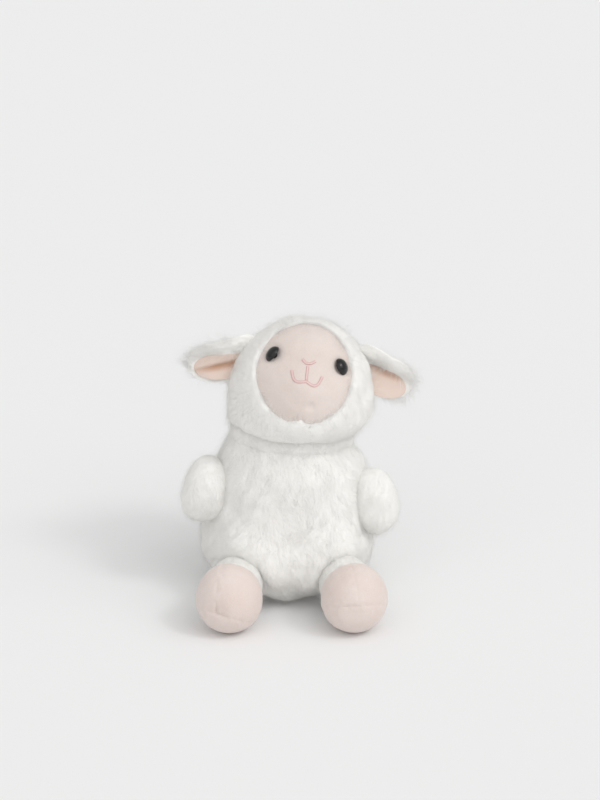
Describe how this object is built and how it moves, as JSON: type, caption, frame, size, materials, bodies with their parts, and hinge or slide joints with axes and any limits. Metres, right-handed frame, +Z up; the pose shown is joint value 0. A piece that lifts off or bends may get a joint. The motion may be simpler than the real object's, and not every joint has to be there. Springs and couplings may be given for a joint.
{
  "type": "plush sheep",
  "caption": "Sitting plush sheep of long white plush with a pink face, feet and ear linings, glossy eyes, an embroidered nose and mouth, and a head, ears and limbs that move at their seams.",
  "frame": {"origin": "middle of the bounding box, on the floor that the sheep sits on", "axes": "+Z up, -Y the way that the sheep faces, +X to the sheep's own left"},
  "size_m": [0.1388, 0.144, 0.1647],
  "materials": {
    "white_plush": "long soft plush pile",
    "pink_velboa": "short smooth pile",
    "white_filling": "loose fibre stuffing",
    "black_gloss_plastic": "polished",
    "white_plastic": "moulded",
    "pink_thread": "satin thread",
    "pouch_cloth": "plain woven cloth",
    "clear_beans": "loose plastic beans"
  },
  "bodies": {
    "torso": {"torso_front_panel": "white_plush", "torso_back_panel_left": "white_plush", "torso_back_panel_right": "white_plush", "torso_base_panel": "white_plush", "torso_stuffing": "white_filling", "bean_pouch": "pouch_cloth", "beans": "clear_beans"},
    "neck": {"neck_stuffing": "white_filling"},
    "head": {"head_panel_left": "white_plush", "head_panel_right": "white_plush", "face_panel": "pink_velboa", "head_stuffing": "white_filling", "eye_left": "black_gloss_plastic", "eye_right": "black_gloss_plastic", "eye_washer_left": "white_plastic", "eye_washer_right": "white_plastic", "nose_stitch": "pink_thread", "lip_stitch": "pink_thread", "mouth_stitch": "pink_thread"},
    "ear_left": {"ear_back_left": "white_plush", "ear_lining_left": "pink_velboa"},
    "ear_right": {"ear_back_right": "white_plush", "ear_lining_right": "pink_velboa"},
    "arm_left": {"arm_front_panel_left": "white_plush", "arm_back_panel_left": "white_plush", "arm_stuffing_left": "white_filling"},
    "arm_right": {"arm_front_panel_right": "white_plush", "arm_back_panel_right": "white_plush", "arm_stuffing_right": "white_filling"},
    "leg_left": {"leg_sleeve_left": "white_plush", "foot_inner_panel_left": "pink_velboa", "foot_outer_panel_left": "pink_velboa", "foot_sole_left": "pink_velboa", "leg_stuffing_left": "white_filling"},
    "leg_right": {"leg_sleeve_right": "white_plush", "foot_inner_panel_right": "pink_velboa", "foot_outer_panel_right": "pink_velboa", "foot_sole_right": "pink_velboa", "leg_stuffing_right": "white_filling"},
    "tail": {"tail_cover": "white_plush", "tail_stuffing": "white_filling"}
  },
  "joints": [
    {"name": "neck_turn", "type": "hinge", "parent": "torso", "child": "neck", "pos_m": [-0.00899, 0.01271, 0.07514], "axis": [0.0856, 0.1908, 0.9779], "range_deg": [-40, 40], "stiffness_Nm_per_rad": 0.15},
    {"name": "head_nod", "type": "hinge", "parent": "neck", "child": "head", "pos_m": [-0.00899, 0.01271, 0.07514], "axis": [0.9962, 0, -0.0872], "range_deg": [-8, 16], "stiffness_Nm_per_rad": 0.15},
    {"name": "ear_flap_left", "type": "hinge", "parent": "head", "child": "ear_left", "pos_m": [0.04491, 0.0151, 0.13498], "axis": [0, -1, 0], "range_deg": [-25, 25], "stiffness_Nm_per_rad": 0.01},
    {"name": "ear_flap_right", "type": "hinge", "parent": "head", "child": "ear_right", "pos_m": [-0.0412, 0.01505, 0.14299], "axis": [0, 1, 0], "range_deg": [-25, 25], "stiffness_Nm_per_rad": 0.01},
    {"name": "arm_raise_left", "type": "hinge", "parent": "torso", "child": "arm_left", "pos_m": [0.03352, 0.00252, 0.076], "axis": [0, -1, 0], "range_deg": [0, 60], "stiffness_Nm_per_rad": 0.04},
    {"name": "arm_raise_right", "type": "hinge", "parent": "torso", "child": "arm_right", "pos_m": [-0.04648, 0.00252, 0.084], "axis": [0, 1, 0], "range_deg": [0, 60], "stiffness_Nm_per_rad": 0.04},
    {"name": "leg_lift_left", "type": "hinge", "parent": "torso", "child": "leg_left", "pos_m": [0.02052, -0.01748, 0.037], "axis": [-1, 0, 0], "range_deg": [0, 45], "stiffness_Nm_per_rad": 0.05},
    {"name": "leg_lift_right", "type": "hinge", "parent": "torso", "child": "leg_right", "pos_m": [-0.03348, -0.01748, 0.037], "axis": [-1, 0, 0], "range_deg": [0, 45], "stiffness_Nm_per_rad": 0.05},
    {"name": "tail_lift", "type": "hinge", "parent": "torso", "child": "tail", "pos_m": [-0.00648, 0.05702, 0.046], "axis": [1, 0, 0], "range_deg": [0, 35], "stiffness_Nm_per_rad": 0.005}
  ]
}
